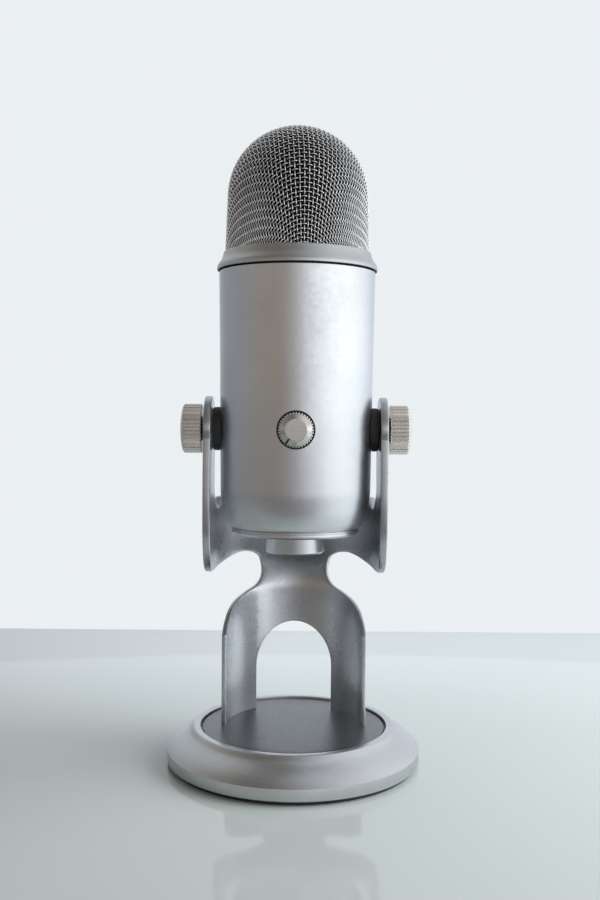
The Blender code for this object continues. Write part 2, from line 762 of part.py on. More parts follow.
def make_control(name, height, side, size, part):
    """A knob, the part that it turns and the black ring behind it. Local Z points out."""
    facing = ((0, side, 0), (0.0, 0.0, height))
    make_knob(name, facing, new_pivot(f"{name}_axis", facing[1]))
    profile = flat_ring(BUSHING_RADIUS + 0.4 * MM, SEAT_RADIUS, SEAT_TOP - 1.5 * MM, SEAT_TOP)
    along(turned(f"{name}_seat", profile, "black_plastic", MEDIUM_STEPS, closed=True), *facing)
    low = ROD_Y + BOARD_THICKNESS / 2 + GAP
    high = low + CONTROL_DEPTH
    housing = block(part, (size, size, CONTROL_DEPTH), (0.0, 0.0, 0.0), "black_plastic")
    housing.data.transform(Matrix.Translation((0.0, 0.0, (low + high) / 2)))
    along(housing, *facing)
    bushing = cylinder(f"{part}_bushing", BUSHING_RADIUS, high - MM, SEAT_TOP - 0.2 * MM, None)
    join(housing, along(bushing, *facing))
    bore = cylinder(f"{part}_bore", SHAFT_RADIUS + GAP, 12 * MM, 36 * MM, None, SMALL_STEPS)
    cut(housing, along(bore, *facing))


def make_capsules():
    shock = [(0.0, 243.9 * MM), (14 * MM, 243.9 * MM), (14 * MM, 239.3 * MM), (0.0, 239.3 * MM)]
    turned("shock_mount", shock, "black_rubber", MEDIUM_STEPS)
    bracket = cylinder("capsule_bracket", 12 * MM, 244.2 * MM, 247 * MM, "black_plastic")
    join(bracket, cylinder("bracket_post", 4.5 * MM, 246 * MM, 276 * MM, None, SMALL_STEPS))
    join(bracket, cylinder("bracket_head", 9 * MM, 274 * MM, 292 * MM, None, 3))
    for i, degrees in enumerate((-90, 30, 150)):
        capsule = cylinder(f"capsule_{i + 1}", CAPSULE_RADIUS, 4.8 * MM, 10 * MM, "brass")
        direction = (math.cos(math.radians(degrees)), math.sin(math.radians(degrees)), 0.0)
        along(capsule, direction, (0.0, 0.0, CAPSULE_Z))


def make_ports():
    usb = block("usb_socket", (9 * MM, 6 * MM, 11.6 * MM), (0.0, PORT_Y, 119.8 * MM), "steel")
    cut(usb, block("usb_slot", (7 * MM, 3.2 * MM, 14 * MM), (0.0, PORT_Y, 114 * MM), None))
    jack = cylinder("headphone_jack", 4 * MM, 113.8 * MM, 125.6 * MM, "black_plastic")
    bore = cylinder("jack_bore", 1.8 * MM, 110 * MM, 123 * MM, None, SMALL_STEPS)
    bore.location.y = -PORT_Y
    jack.location.y = -PORT_Y
    cut(jack, bore)


def make_cap_screws():
    for i, side in enumerate((-1, 1)):
        profile = screw_profile(2.8 * MM, 1.5 * MM, 114.2 * MM, 116.1 * MM, 131 * MM)
        screw = turned(f"cap_screw_{i + 1}", profile, "steel", SMALL_STEPS)
        screw.location.x = side * CAP_SCREW_X


def make_microphone():
    make_body_shell()
    make_grille_collar()
    make_grille()
    make_end_cap()
    make_mount_boss()
    make_chassis()
    make_boards()
    make_capsules()
    make_ports()
    make_cap_screws()
    inner_parts = ((12 * MM, "volume_pot"), (12 * MM, "gain_pot"), (14 * MM, "pattern_switch"))
    for control, inner_part in zip(CONTROLS, inner_parts):
        make_control(*control, *inner_part)


make_stand()
make_microphone()
for WORD, SIDE in (("left", -1), ("right", 1)):
    make_thumbscrew(WORD, SIDE)
    make_pivot_side(WORD, SIDE)
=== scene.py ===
"""The looks of the desktop microphone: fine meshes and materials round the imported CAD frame.

Shapes are worked out in millimetres, in the row frame, and become metres in mesh_piece().
"""
import math

import bmesh
import bpy
import numpy as np
from mathutils import Matrix, Vector, geometry


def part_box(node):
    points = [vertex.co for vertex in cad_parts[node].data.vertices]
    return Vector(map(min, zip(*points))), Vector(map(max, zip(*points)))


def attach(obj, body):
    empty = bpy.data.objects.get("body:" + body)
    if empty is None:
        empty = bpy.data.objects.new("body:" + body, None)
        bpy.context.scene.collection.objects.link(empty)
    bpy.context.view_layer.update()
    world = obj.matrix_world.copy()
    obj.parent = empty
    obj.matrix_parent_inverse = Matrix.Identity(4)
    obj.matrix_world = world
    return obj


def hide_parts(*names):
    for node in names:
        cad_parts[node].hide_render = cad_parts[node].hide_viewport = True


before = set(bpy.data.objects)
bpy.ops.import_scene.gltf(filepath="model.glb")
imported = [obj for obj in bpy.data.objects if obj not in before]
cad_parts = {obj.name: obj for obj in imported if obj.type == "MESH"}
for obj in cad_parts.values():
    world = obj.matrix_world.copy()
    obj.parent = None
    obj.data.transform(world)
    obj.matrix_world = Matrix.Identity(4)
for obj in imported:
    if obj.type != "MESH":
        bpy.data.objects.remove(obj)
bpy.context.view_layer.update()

M = 0.001

# ------------------------------------------------------------------ sizes, from the CAD frame


def corners(node):
    """Lowest and highest corner of a CAD node, in millimetres."""
    low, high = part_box(node)
    return low / M, high / M


BASE_R = corners("base_casting")[1].x
BASE_LOW = corners("base_casting")[0].z
LIP_TOP = corners("base_casting")[1].z
PAD_R = corners("foot_pad")[1].x
PAD_TOP = corners("foot_pad")[1].z
DISC_R = corners("base_disc")[1].x
DISC_TOP = corners("base_disc")[1].z
ARM_OUTER = corners("yoke")[1].x
THUMB_OUTER = corners("thumbscrew_right")[1].x
THUMB_TIP = corners("thumbscrew_right")[0].x
THUMB_R = 12.1
PIVOT_Z = (corners("thumbscrew_right")[0].z + corners("thumbscrew_right")[1].z) / 2
BODY_LOW = corners("body_shell")[0].z
BODY_TOP = corners("body_shell")[1].z
COLLAR_R = corners("grille_collar")[1].x
COLLAR_TOP = corners("grille_collar")[1].z
GRILLE_R = corners("grille")[1].x
GRILLE_TOP = corners("grille")[1].z
CAP_LOW = corners("end_cap")[0].z
CAP_R = corners("end_cap")[1].x
BOSS_LOW = corners("mount_boss")[0].z
BOSS_R = 14.5
THREAD_R = 7.94
THREAD_PITCH = 0.94
KNOB_FACE = -corners("volume_knob")[0].y
KNOB_R = 8.3
HOLE_R = 9.0
KNOB_SIDES = {"volume": -1, "gain": 1, "pattern": 1}
KNOB_Z = {name: sum(corner.z for corner in corners(f"{name}_knob")) / 2 for name in KNOB_SIDES}

ARM_THICKNESS = 3.6
LEG_THICKNESS = 2.3
LEG_RADIUS = 34.85
LEG_CENTRE_Y = -0.5
ARM_MIDDLE = ARM_OUTER - ARM_THICKNESS / 2
ARM_END_R = 16.0
DOME_R = 34.5
WIRE_R = 0.28
PITCH_X = 2.34
PITCH_Y = 2.1
NET_SLIP = 0.62
SHAFT_R = 3.0
THUMB_DEPTH = 10.7
RUBBER_RING_R = 10.7
RUBBER_HOLE_R = 7.0
BODY_FIT_R = 37.65
BODY_R = 37.05
BOTTOM_R = 32.9
CAP_SHOULDER = 117.0
DOME_CENTRE = GRILLE_TOP - DOME_R
CLOTH_R = DOME_R - 2 * WIRE_R
# The cloth's middle wires stand a little to the right of the front.
NET_TURN = np.array(Matrix.Rotation(math.radians(5.0), 3, "Z").transposed())

# ------------------------------------------------------------------ materials


def node_material(name, colour, roughness, metallic):
    material = bpy.data.materials.new(name)
    material.use_nodes = True
    shader = material.node_tree.nodes["Principled BSDF"]
    shader.inputs["Base Color"].default_value = (*colour, 1.0)
    shader.inputs["Roughness"].default_value = roughness
    shader.inputs["Metallic"].default_value = metallic
    return material, material.node_tree, shader


def noise(tree, per_metre, detail, stretch=(1.0, 1.0, 1.0)):
    """Noise in the piece's own space, at this many grains to the metre."""
    place = tree.nodes.new("ShaderNodeTexCoord")
    mapping = tree.nodes.new("ShaderNodeMapping")
    mapping.inputs["Scale"].default_value = stretch
    texture = tree.nodes.new("ShaderNodeTexNoise")
    texture.inputs["Scale"].default_value = per_metre
    texture.inputs["Detail"].default_value = detail
    tree.links.new(place.outputs["Object"], mapping.inputs["Vector"])
    tree.links.new(mapping.outputs["Vector"], texture.inputs["Vector"])
    return texture.outputs["Fac"]


def spread(tree, source, low, high):
    """Turns noise, which stays near a half, into the range from low to high."""
    change = tree.nodes.new("ShaderNodeMapRange")
    change.inputs["From Min"].default_value = 0.3
    change.inputs["From Max"].default_value = 0.7
    change.inputs["To Min"].default_value = low
    change.inputs["To Max"].default_value = high
    tree.links.new(source, change.inputs["Value"])
    return change.outputs["Result"]


def two_tone(tree, source, first, second):
    ramp = tree.nodes.new("ShaderNodeValToRGB")
    ramp.color_ramp.elements[0].position = 0.32
    ramp.color_ramp.elements[0].color = (*first, 1.0)
    ramp.color_ramp.elements[1].position = 0.68
    ramp.color_ramp.elements[1].color = (*second, 1.0)
    tree.links.new(source, ramp.inputs["Fac"])
    return ramp.outputs["Color"]


def add_bump(tree, shader, source, strength, distance):
    bump = tree.nodes.new("ShaderNodeBump")
    bump.inputs["Strength"].default_value = strength
    bump.inputs["Distance"].default_value = distance
    tree.links.new(source, bump.inputs["Height"])
    if shader.inputs["Normal"].is_linked:
        tree.links.new(shader.inputs["Normal"].links[0].from_socket, bump.inputs["Normal"])
    tree.links.new(bump.outputs["Normal"], shader.inputs["Normal"])


def scaled(colour, factor):
    return tuple(min(channel * factor, 1.0) for channel in colour)


def satin_metal(name, colour, roughness, grain=0.25, grains_per_metre=2600.0, tone=0.06):
    """Bead-blasted metal: a fine grain in the surface and slow changes of tone and gloss."""
    material, tree, shader = node_material(name, colour, roughness, 1.0)
    cloudy = noise(tree, 28.0, 4.0)
    fine = noise(tree, grains_per_metre, 2.0)
    tones = two_tone(tree, cloudy, scaled(colour, 1 - tone), scaled(colour, 1 + tone))
    tree.links.new(tones, shader.inputs["Base Color"])
    gloss = spread(tree, noise(tree, 420.0, 5.0), roughness - 0.04, roughness + 0.04)
    tree.links.new(gloss, shader.inputs["Roughness"])
    add_bump(tree, shader, fine, grain, 0.00012)
    return material


def wire_metal(name, colour, roughness):
    material, tree, shader = node_material(name, colour, roughness, 1.0)
    patches = noise(tree, 300.0, 3.0)
    tones = two_tone(tree, patches, scaled(colour, 0.82), scaled(colour, 1.12))
    tree.links.new(tones, shader.inputs["Base Color"])
    gloss = spread(tree, noise(tree, 900.0, 2.0), roughness - 0.06, roughness + 0.08)
    tree.links.new(gloss, shader.inputs["Roughness"])
    return material


def moulded(name, colour, roughness, grains_per_metre=900.0, grain=0.3):
    """Plastic or rubber with a moulded texture and a faint bloom."""
    material, tree, shader = node_material(name, colour, roughness, 0.0)
    bloom = noise(tree, 60.0, 5.0)
    tones = two_tone(tree, bloom, scaled(colour, 0.8), scaled(colour, 1.35))
    tree.links.new(tones, shader.inputs["Base Color"])
    gloss = spread(tree, bloom, roughness - 0.08, roughness + 0.05)
    tree.links.new(gloss, shader.inputs["Roughness"])
    add_bump(tree, shader, noise(tree, grains_per_metre, 3.0), grain, 0.0001)
    return material


def foam(name, colour):
    material, tree, shader = node_material(name, colour, 0.95, 0.0)
    cells = tree.nodes.new("ShaderNodeTexVoronoi")
    cells.inputs["Scale"].default_value = 1300.0
    place = tree.nodes.new("ShaderNodeTexCoord")
    tree.links.new(place.outputs["Object"], cells.inputs["Vector"])
    tones = two_tone(tree, cells.outputs["Distance"], scaled(colour, 0.4), scaled(colour, 1.6))
    tree.links.new(tones, shader.inputs["Base Color"])
    add_bump(tree, shader, cells.outputs["Distance"], 0.6, 0.0004)
    shader.inputs["Specular IOR Level"].default_value = 0.1
    return material


def board_material(name):
    """Green solder mask with copper tracks under it."""
    material, tree, shader = node_material(name, (0.02, 0.14, 0.06), 0.4, 0.0)
    tracks = tree.nodes.new("ShaderNodeTexBrick")
    tracks.inputs["Scale"].default_value = 160.0
    tracks.inputs["Mortar Size"].default_value = 0.03
    tracks.inputs["Color1"].default_value = (0.015, 0.12, 0.05, 1.0)
    tracks.inputs["Color2"].default_value = (0.02, 0.15, 0.06, 1.0)
    tracks.inputs["Mortar"].default_value = (0.05, 0.26, 0.10, 1.0)
    place = tree.nodes.new("ShaderNodeTexCoord")
    tree.links.new(place.outputs["Object"], tracks.inputs["Vector"])
    tree.links.new(tracks.outputs["Color"], shader.inputs["Base Color"])
    add_bump(tree, shader, tracks.outputs["Fac"], 0.2, 0.0001)
    return material


SATIN = satin_metal("satin_silver", (0.60, 0.61, 0.63), 0.31)
YOKE = satin_metal("yoke_silver", (0.49, 0.505, 0.53), 0.30, grain=0.04)
BODY = satin_metal("body_silver", (0.66, 0.68, 0.71), 0.33)
DARK = satin_metal("dark_disc", (0.205, 0.21, 0.22), 0.36, tone=0.05)
THUMB = satin_metal("thumb_silver", (0.84, 0.785, 0.735), 0.27, grain=0.03, tone=0.05)
KNOB = satin_metal("knob_silver", (0.62, 0.60, 0.59), 0.26, grain=0.12, tone=0.03)
COLLAR = satin_metal("collar_silver", (0.56, 0.565, 0.58), 0.36)
WIRE = wire_metal("grille_wire", (0.93, 0.94, 0.96), 0.15)
# Painted shade: a darker copy of the grille wire, for the wires' inner sides and where they pass under.
WIRE_SHADE = wire_metal("grille_wire_shade", (0.25, 0.253, 0.26), 0.30)
STEEL = satin_metal("plated_steel", (0.55, 0.55, 0.56), 0.25, grain=0.1)
BRASS = satin_metal("turned_brass", (0.72, 0.55, 0.28), 0.25, grain=0.1)
# Black rubber, also used as painted shade in the gap under the collar and in the knobs' engraved pointers.
RUBBER_AND_PAINTED_SHADE = moulded("black_rubber", (0.022, 0.022, 0.024), 0.62)
PLASTIC = moulded("black_plastic", (0.025, 0.025, 0.028), 0.45, 1400.0, 0.2)
FOAM = foam("black_foam", (0.012, 0.012, 0.013))
BOARD = board_material("circuit_board")

# ------------------------------------------------------------------ mesh tools


def mesh_piece(name, verts, faces, material, body, replaces=(), sharp=32.0):
    """A mesh given in millimetres, made an object that rides on a body and stands for CAD nodes."""
    mesh = bpy.data.meshes.new(name)
    mesh.from_pydata([tuple(float(value) * M for value in vert) for vert in verts], [], faces)
    mesh.validate()
    mesh.shade_smooth()
    if sharp:
        mesh.set_sharp_from_angle(angle=math.radians(sharp))
    mesh.materials.append(material)
    obj = bpy.data.objects.new(name, mesh)
    bpy.context.scene.collection.objects.link(obj)
    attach(obj, body)
    if replaces:
        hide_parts(*replaces)
    return obj


def arc(centre, radius, start, end, count):
    """Points on a circle in a plane, from one angle in degrees to another, both ends included."""
    angles = [math.radians(start + (end - start) * i / count) for i in range(count + 1)]
    return [(centre[0] + radius * math.cos(a), centre[1] + radius * math.sin(a)) for a in angles]


def fillet(points, steps=4, closed=False):
    """An outline with its corners rounded. A point is (u, v) or (u, v, corner radius)."""
    result = []
    count = len(points)
    for i, point in enumerate(points):
        here = np.array(point[:2], float)
        radius = point[2] if len(point) > 2 else 0.0
        inner = closed or 0 < i < count - 1
        if not radius or not inner:
            result.append(tuple(here))
            continue
        back = np.array(points[i - 1][:2], float) - here
        ahead = np.array(points[(i + 1) % count][:2], float) - here
        back_length, ahead_length = np.linalg.norm(back), np.linalg.norm(ahead)
        back, ahead = back / back_length, ahead / ahead_length
        half = math.acos(max(-1.0, min(1.0, float(back @ ahead)))) / 2
        run = min(radius / math.tan(half), back_length * 0.49, ahead_length * 0.49)
        radius = run * math.tan(half)
        centre = here + (back + ahead) / np.linalg.norm(back + ahead) * radius / math.sin(half)
        first = here + back * run - centre
        last = here + ahead * run - centre
        turn = math.atan2(first[0] * last[1] - first[1] * last[0], float(first @ last))
        for k in range(steps + 1):
            c, s = math.cos(turn * k / steps), math.sin(turn * k / steps)
            swung = np.array([c * first[0] - s * first[1], s * first[0] + c * first[1]])
            result.append(tuple(centre + swung))
    return result


def spline(points, steps):
    """A Catmull-Rom curve through the points, which keeps both end points."""
    padded = np.array([points[0], *points, points[-1]], float)
    result = []
    for a, b, c, d in zip(padded, padded[1:], padded[2:], padded[3:]):
        for i in range(steps):
            t = i / steps
            square = (2 * a - 5 * b + 4 * c - d) * t**2
            cube = (3 * b - a - 3 * c + d) * t**3
            result.append(0.5 * (2 * b + (c - a) * t + square + cube))
    result.append(padded[-1])
    return [tuple(point) for point in result]


def divided(points, longest):
    """The same outline with no step longer than this."""
    result = [points[0]]
    for first, second in zip(points, points[1:]):
        count = max(1, math.ceil(math.dist(first, second) / longest))
        for k in range(1, count + 1):
            t = k / count
            result.append(tuple(a + (b - a) * t for a, b in zip(first, second)))
    return result


def turned(profile, segments, closed=False, shift=None):
    """A surface of revolution about Z. shift(radius, height, angle) may move each point's radius."""
    verts, rings = [], []
    for radius, height in profile:
        if radius < 1e-6:
            rings.append([len(verts)] * segments)
            verts.append((0.0, 0.0, height))
            continue
        rings.append(list(range(len(verts), len(verts) + segments)))
        for i in range(segments):
            angle = math.tau * i / segments
            r = radius + (shift(radius, height, angle) if shift else 0.0)
            verts.append((r * math.cos(angle), r * math.sin(angle), height))
    if closed:
        rings.append(rings[0])
    faces = []
    for upper, lower in zip(rings, rings[1:]):
        for i in range(segments):
            k = (i + 1) % segments
            face = [upper[i], lower[i], lower[k], upper[k]]
            face = [v for n, v in enumerate(face) if v != face[n - 1]]
            if len(face) > 2:
                faces.append(face)
    return verts, faces


def pointed(verts, direction, height):
    """Turns points about Z so that Z points along a level direction, at the given height."""
    turn = Vector(direction).to_track_quat("Z", "Y").to_matrix()
    return [tuple(turn @ Vector(vert) + Vector((0.0, 0.0, height))) for vert in verts]


def turned_piece(name, profile, material, body, replaces=(), segments=160, closed=False, sharp=32.0):
    verts, faces = turned(profile, segments, closed)
    return mesh_piece(name, verts, faces, material, body, replaces, sharp)


def darken(obj, material, test):
    """Gives the faces whose middle passes the test, in millimetres, a second material."""
    obj.data.materials.append(material)
    for face in obj.data.polygons:
        x, y, z = face.center / M
        if test(math.hypot(x, y), z):
            face.material_index = 1


def drill(obj, radius, direction, height, start, end, segments=128):
    """Cuts a round hole along a level direction, between two distances from the axis."""
    verts, faces = turned([(0, end), (radius, end), (radius, start), (0, start)], segments)
    mesh = bpy.data.meshes.new("drill")
    mesh.from_pydata([tuple(Vector(vert) * M) for vert in pointed(verts, direction, height)], [], faces)
    cutter = bpy.data.objects.new("drill", mesh)
    bpy.context.scene.collection.objects.link(cutter)
    cut_with(obj, cutter)


def cut_with(obj, cutter):
    """Applies a Boolean difference and removes the cutter."""
    modifier = obj.modifiers.new("cut", "BOOLEAN")
    modifier.object = cutter
    modifier.solver = "EXACT"
    bpy.context.view_layer.update()
    graph = bpy.context.evaluated_depsgraph_get()
    mesh = bpy.data.meshes.new_from_object(obj.evaluated_get(graph))
    obj.modifiers.remove(modifier)
    obj.data = mesh
    bpy.data.objects.remove(cutter, do_unlink=True)


# ------------------------------------------------------------------ stand


def make_base():
    slope = [(50.4, 17.3), (51.5, 16.05), (53.3, 14.8), (56.0, 13.2), (58.6, 11.5), (60.7, 9.75), (62.3, 8.0)]
    top = [(0.0, 14.1), (46.2, 14.1), (46.2, LIP_TOP, 0.35), (49.5, LIP_TOP, 0.9)]
    profile = fillet([*top, (50.4, 17.3)], 5) + spline(slope, 5)[1:-1]
    rim = [(62.3, 8.0), (BASE_R, 7.78), (BASE_R, BASE_LOW, 0.4), (PAD_R - 4, BASE_LOW)]
    profile += fillet(rim, 4)
    casting = ["base_casting"]
    turned_piece("base_casting_fine", profile, SATIN, "stand", casting, 256, sharp=38.0)
    pad = fillet([(0.0, PAD_TOP), (PAD_R, PAD_TOP, 0.2), (PAD_R, 0.0, 0.5), (0.0, 0.0)], 4)
    turned_piece("foot_pad_fine", pad, RUBBER_AND_PAINTED_SHADE, "stand", ["foot_pad"], 192)
    low = DISC_TOP - 3.0
    disc = fillet([(0.0, DISC_TOP), (DISC_R, DISC_TOP, 0.4), (DISC_R, low), (0.0, low)], 5)
    disc = divided(disc, 6.0)
    turned_piece("base_disc_fine", disc, DARK, "stand", ["base_disc"], 192, sharp=50.0)


def blend(low, high, start, end, value):
    """Changes smoothly from low to high as the value goes from start to end."""
    t = min(max((value - start) / (end - start), 0.0), 1.0)
    return low + (high - low) * t * t * (3 - 2 * t)


QUARTER = LEG_RADIUS * math.pi / 2


def half_width(z):
    return blend(LEG_RADIUS, ARM_MIDDLE, 80, 93, z)


def back_depth(z):
    return blend(LEG_RADIUS + LEG_CENTRE_Y, ARM_MIDDLE, 80, 112, z)


def flat_until(z):
    return blend(LEG_CENTRE_Y, 0.0, 80, 93, z) + blend(0.0, ARM_END_R, 118, 145, z)


def thickness(z):
    return blend(LEG_THICKNESS, ARM_THICKNESS, 84, 100, z)


def unfold_x(x, z):
    return LEG_RADIUS * math.asin(min(x / half_width(z), 1.0))


def unfold_y(y, z):
    ahead = flat_until(z) - y
    if ahead >= 0.0:
        return QUARTER + ahead
    return LEG_RADIUS * math.acos(-ahead / (back_depth(z) - flat_until(z)))


def fold(s, w, z):
    """The place of a point s round the yoke from its back line and w out from its middle surface."""
    side = math.copysign(1.0, s)
    flat = flat_until(z)
    if abs(s) >= QUARTER:
        return (side * (half_width(z) + w), flat + QUARTER - abs(s), z)
    angle = abs(s) / LEG_RADIUS
    a = half_width(z)
    b = back_depth(z) - flat
    nx, ny = b * math.sin(angle), a * math.cos(angle)
    length = math.hypot(nx, ny)
    return (side * (a * math.sin(angle) + w * nx / length), flat + b * math.cos(angle) + w * ny / length, z)


def yoke_half_outline():
    """Points (s, z) down one side, from the middle of the web's top edge to the crown of the arch."""
    low = 12.0
    back_edge = [(20, 129.5), (16.5, 126), (13.4, 124.8), (12.2, 128), (12.4, 136), (14.2, 150)]
    back_edge = spline(back_edge, 12)
    round_end = arc((0.0, PIVOT_Z), ARM_END_R, -10, 196, 60)
    front_edge = spline([(-16.6, 150), (-17, 126), (-15, 110), (-8.5, 98.5), (0, 94), (8, 93.7)], 14)
    web_edge = [(38, 96.4), (33.5, 98.7), (28.7, 100), (23.6, 99.4), (19.9, 97.6), (18.3, 95)]
    neck = [(17.4, 90), (18, 86), (20.5, 82.5), (25.4, 79.7), (30, 76.5), (32.8, 72.6), (34.2, 68)]
    web_edge = spline(web_edge + neck, 8)
    outline = [(unfold_x(x, z), z) for x, z in divided([(0, 131), (31, 131)], 1.5)]
    outline += [(unfold_y(y, z), z) for y, z in back_edge + round_end + front_edge]
    outline += [(unfold_x(x, z), z) for x, z in web_edge]
    outline += [(QUARTER, 62.0), (QUARTER, low)]
    arch = [(20.0, low)]
    arch += [(20 * math.cos(a), 40 + 22.5 * math.sin(a)) for a in np.linspace(0, math.pi / 2, 28)]
    outline += [(unfold_x(max(x, 0.0), z), z) for x, z in arch]
    return divided(outline, 1.1)


def without_close(points, least):
    """Drops points nearer than this to the one before."""
    kept = [points[0]]
    for point in points[1:]:
        if math.dist(point, kept[-1]) >= least:
            kept.append(point)
    return kept


def inset(loop, distance):
    """A closed loop moved to its left by a distance."""
    points = np.array(loop)
    before, after = np.roll(points, 1, 0), np.roll(points, -1, 0)
    along = after - before
    along /= np.linalg.norm(along, axis=1)[:, None]
    return points + np.stack([-along[:, 1], along[:, 0]], 1) * distance


def inside(points, loop):
    """Which points lie inside a closed loop."""
    x, y = points[:, 0], points[:, 1]
    found = np.zeros(len(points), bool)
    for (x0, y0), (x1, y1) in zip(loop, np.roll(loop, -1, 0)):
        crosses = (y0 > y) != (y1 > y)
        with np.errstate(divide="ignore", invalid="ignore"):
            at = (x1 - x0) * (y - y0) / (y1 - y0) + x0
        found ^= crosses & (x < at)
    return found


def yoke_sheet(loops, spacing):
    """Even triangles (s, z) over the yoke's outline, less the pivot holes."""
    outer, holes = loops[0], loops[1:]
    low, high = outer.min(0), outer.max(0)
    columns = np.arange(low[0], high[0], spacing)
    rows = np.arange(low[1], high[1], spacing)
    grid = np.array([(s, z) for s in columns for z in rows])
    keep = inside(grid, outer)
    for hole in holes:
        keep &= ~inside(grid, hole)
    grid = grid[keep]
    rim = np.concatenate(loops)
    gaps = np.array([np.hypot(*(rim - point).T).min() for point in grid])
    grid = grid[gaps > spacing * 0.45]
    edges, start = [], 0
    for loop in loops:
        edges += [(start + i, start + (i + 1) % len(loop)) for i in range(len(loop))]
        start += len(loop)
    given = [Vector(point) for point in rim] + [Vector(point) for point in grid]
    points, _, triangles, *_ = geometry.delaunay_2d_cdt(given, edges, [], 0, 1e-6)
    points = np.array([tuple(point) for point in points])
    middles = np.array([points[list(triangle)].mean(0) for triangle in triangles])
    keep = inside(middles, outer)
    for hole in holes:
        keep &= ~inside(middles, hole)
    return points, [triangle for triangle, wanted in zip(triangles, keep) if wanted]


def make_yoke():
    """The bent casting: two faces over the outline, joined by a rounded edge, then folded into place."""
    half = yoke_half_outline()
    outline = half + [(-s, z) for s, z in reversed(half[1:-1])]
    outline = without_close(outline, 0.35)[::-1]
    loops = [np.array(outline)]
    for side in (-1, 1):
        middle = side * unfold_y(0.0, PIVOT_Z)
        loops.append(np.array(arc((middle, PIVOT_Z), SHAFT_R + 0.4, 360, 0, 40)[:-1]))
    area = sum(a[0] * b[1] - a[1] * b[0] for a, b in zip(loops[0], np.roll(loops[0], -1, 0)))
    if area < 0:
        loops[0] = loops[0][::-1]
    rounding = 0.55
    inner = [inset(loop, rounding) for loop in loops]
    points, triangles = yoke_sheet(inner, 1.9)
    verts, faces = [], []
    for front in (1, -1):
        start = len(verts)
        verts += [fold(s, front * thickness(z) / 2, z) for s, z in points]
        for a, b, c in triangles:
            face = [start + a, start + b, start + c]
            faces.append(face if front < 0 else face[::-1])
    steps = 4
    for near, far in zip(inner, loops):
        rings = []
        for front in (1, -1):
            order = range(steps + 1) if front > 0 else range(steps, -1, -1)
            for k in order:
                angle = math.pi / 2 * k / steps
                ring = near + (far - near) * math.sin(angle)
                drop = rounding * (1 - math.cos(angle))
                rings.append([fold(s, front * (thickness(z) / 2 - drop), z) for s, z in ring])
        start, count = len(verts), len(near)
        verts += [vert for ring in rings for vert in ring]
        for k in range(len(rings) - 1):
            for i in range(count):
                j = (i + 1) % count
                a, b = start + k * count, start + (k + 1) * count
                faces.append([a + i, a + j, b + j, b + i])
    obj = mesh_piece("yoke_fine", verts, faces, YOKE, "stand", ["yoke"], 0)
    weld_and_orient(obj)
    return obj


def weld_and_orient(obj):
    """Joins the strips of a piece along their shared points and turns every face out."""
    bm = bmesh.new()
    bm.from_mesh(obj.data)
    bmesh.ops.remove_doubles(bm, verts=bm.verts, dist=1e-6)
    bmesh.ops.recalc_face_normals(bm, faces=bm.faces)
    for face in bm.faces:
        face.smooth = True
    bm.to_mesh(obj.data)
    bm.free()


# ------------------------------------------------------------------ thumbscrews and washers


def ribs(count, depth, low, high, radius_from):
    """A shift for turned(): rounded ribs along Z between two heights, on points past a radius."""

    def shift(radius, height, angle):
        if radius < radius_from or not low <= height <= high:
            return 0.0
        return -depth * (0.5 - 0.5 * math.cos(count * angle)) ** 2

    return shift


def make_thumbscrew(word, side):
    outer = THUMB_OUTER
    inner = outer - THUMB_DEPTH
    head = fillet(
        [
            (0.0, outer),
            (6.0, outer - 0.15, 6.0),
            (9.8, outer - 0.75, 2.0),
            (11.3, outer - 1.3, 0.5),
            (THUMB_R, outer - 1.9, 0.5),
            (THUMB_R, inner + 0.5, 0.3),
            (THUMB_R - 0.5, inner, 0.3),
            (SHAFT_R, inner, 0.3),
        ],
        5,
    )
    head = divided(head, 1.6)
    thread = [(SHAFT_R, inner - 1.5)]
    height = inner - 2.0
    while height > THUMB_TIP + 1.5:
        thread += [(SHAFT_R, height), (SHAFT_R - 0.45, height - 0.5)]
        height -= 1.0
    thread += [(SHAFT_R, height), (SHAFT_R - 0.7, THUMB_TIP), (0.0, THUMB_TIP)]
    ribbed = ribs(40, 0.55, inner + 0.2, outer - 1.5, THUMB_R - 0.9)
    verts, faces = turned(head + thread, 400, shift=ribbed)
    verts = pointed(verts, (side, 0, 0), PIVOT_Z)
    name = f"thumbscrew_{word}"
    mesh_piece(f"{name}_fine", verts, faces, THUMB, f"{word}_thumbscrew", [name], 40.0)
    low, high = inner - 1.1, inner - 0.3
    washer = fillet([(3.4, high), (6.3, high, 0.25), (6.3, low, 0.25), (3.4, low)], 3, closed=True)
    verts, faces = turned(washer, 96, closed=True)
    name = f"thrust_washer_{word}"
    verts = pointed(verts, (side, 0, 0), PIVOT_Z)
    mesh_piece(f"{name}_fine", verts, faces, PLASTIC, f"{word}_washer", [name])


def make_friction_washer(word, side):
    """A rubber ring whose inner face is hollowed to fit the round body."""
    high = ARM_OUTER - ARM_THICKNESS - 0.3
    low = 33.0
    rim, hole = RUBBER_RING_R, RUBBER_HOLE_R
    profile = [(hole, high), (rim - 0.2, high, 0.7), (rim, high - 1.6, 0.8), (rim, low), (hole, low)]
    profile = divided(fillet(profile, 5, closed=True), 1.2)
    ring, faces = turned(profile, 160, closed=True)
    verts = []
    for x, y, z in ring:
        body = math.sqrt(max(BODY_FIT_R**2 - x * x, 0.0))
        verts.append((side * max(z, body), side * x, PIVOT_Z + y))
    name = f"friction_washer_{word}"
    mesh_piece(f"{name}_fine", verts, faces, RUBBER_AND_PAINTED_SHADE, "microphone", [name], 40.0)


# ------------------------------------------------------------------ microphone body


